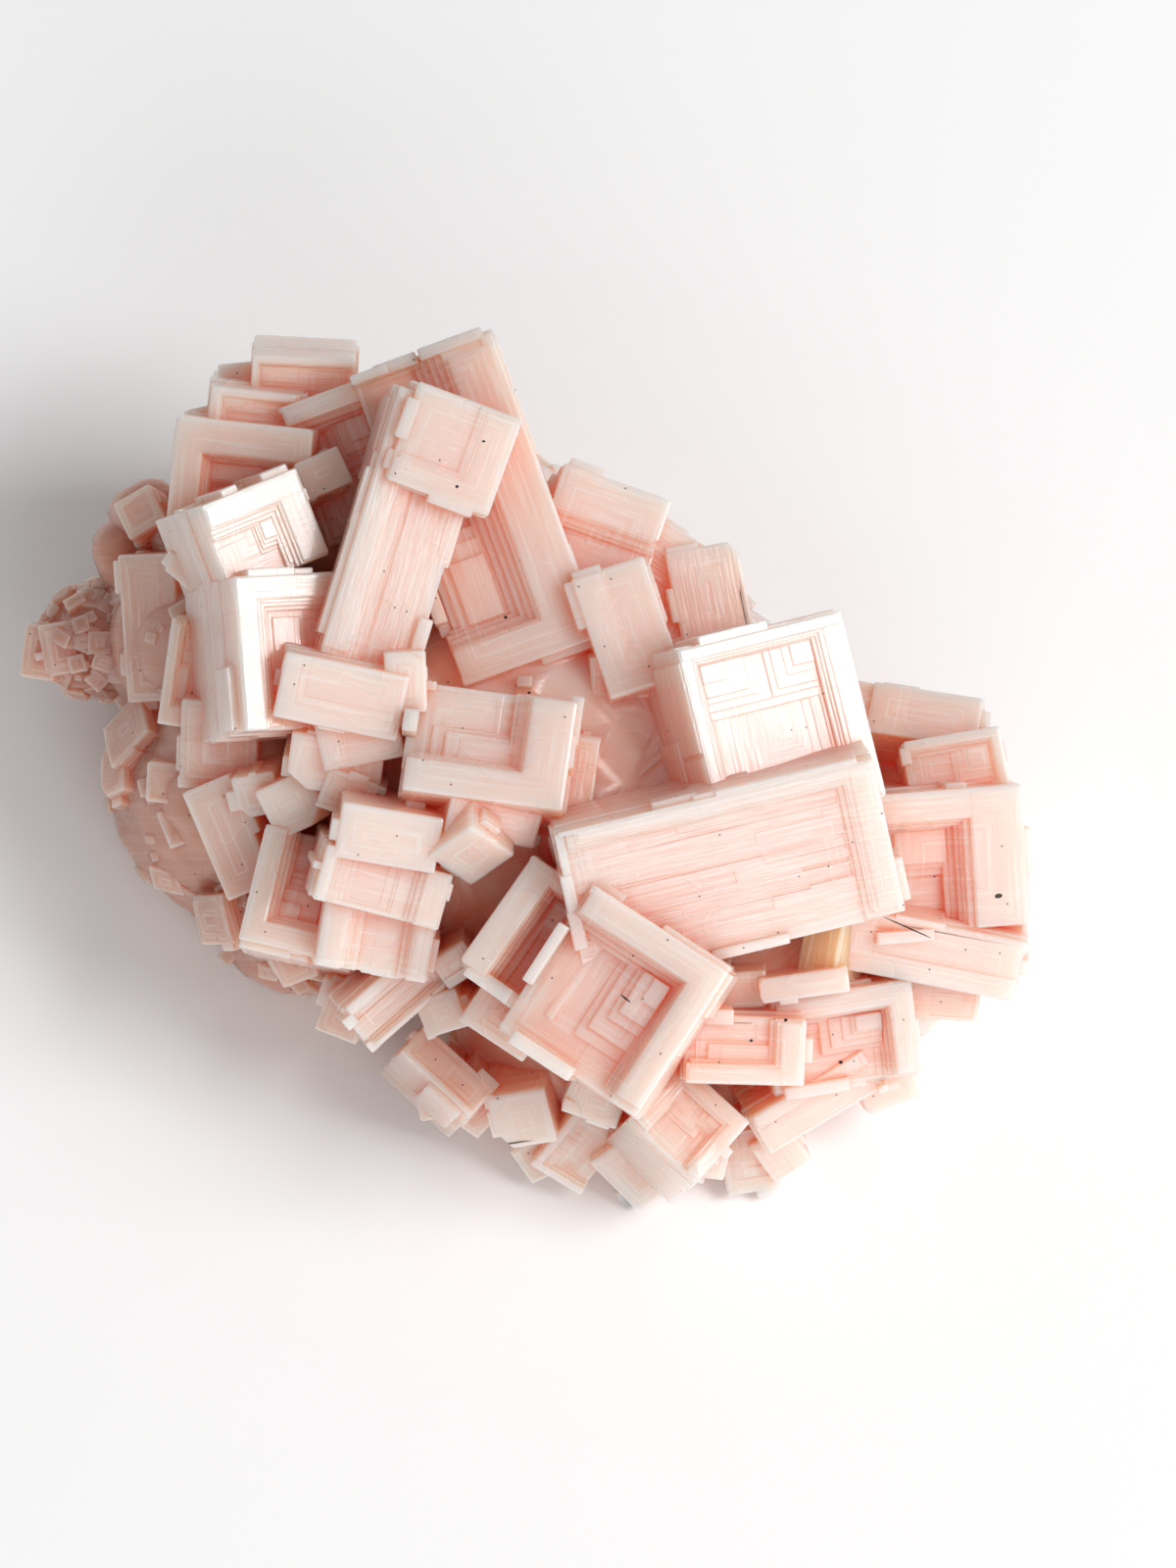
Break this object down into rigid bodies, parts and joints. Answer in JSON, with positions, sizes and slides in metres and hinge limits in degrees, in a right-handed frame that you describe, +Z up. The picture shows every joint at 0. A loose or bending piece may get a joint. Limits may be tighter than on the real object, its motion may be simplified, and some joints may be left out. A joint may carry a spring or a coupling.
{
  "type": "halite crystal cluster",
  "caption": "Pale pink halite specimen: intergrown salt cubes with stepped hopper faces on a lumpy mound of massive salt, cut flat to rest on a shelf",
  "frame": {"origin": "centre of the bounding box in plan, on the flat cut that the cluster rests on", "axes": "+X along the cluster's longest extent, +Z up; the large cubes face up and lean towards -Y"},
  "size_m": [0.12, 0.102, 0.062],
  "materials": {
    "pink_halite": "milky translucent pink salt, waxy on the faces and bright on a few cleaved ones"
  },
  "bodies": {
    "root": {"halite_cluster": "pink_halite"}
  },
  "joints": []
}
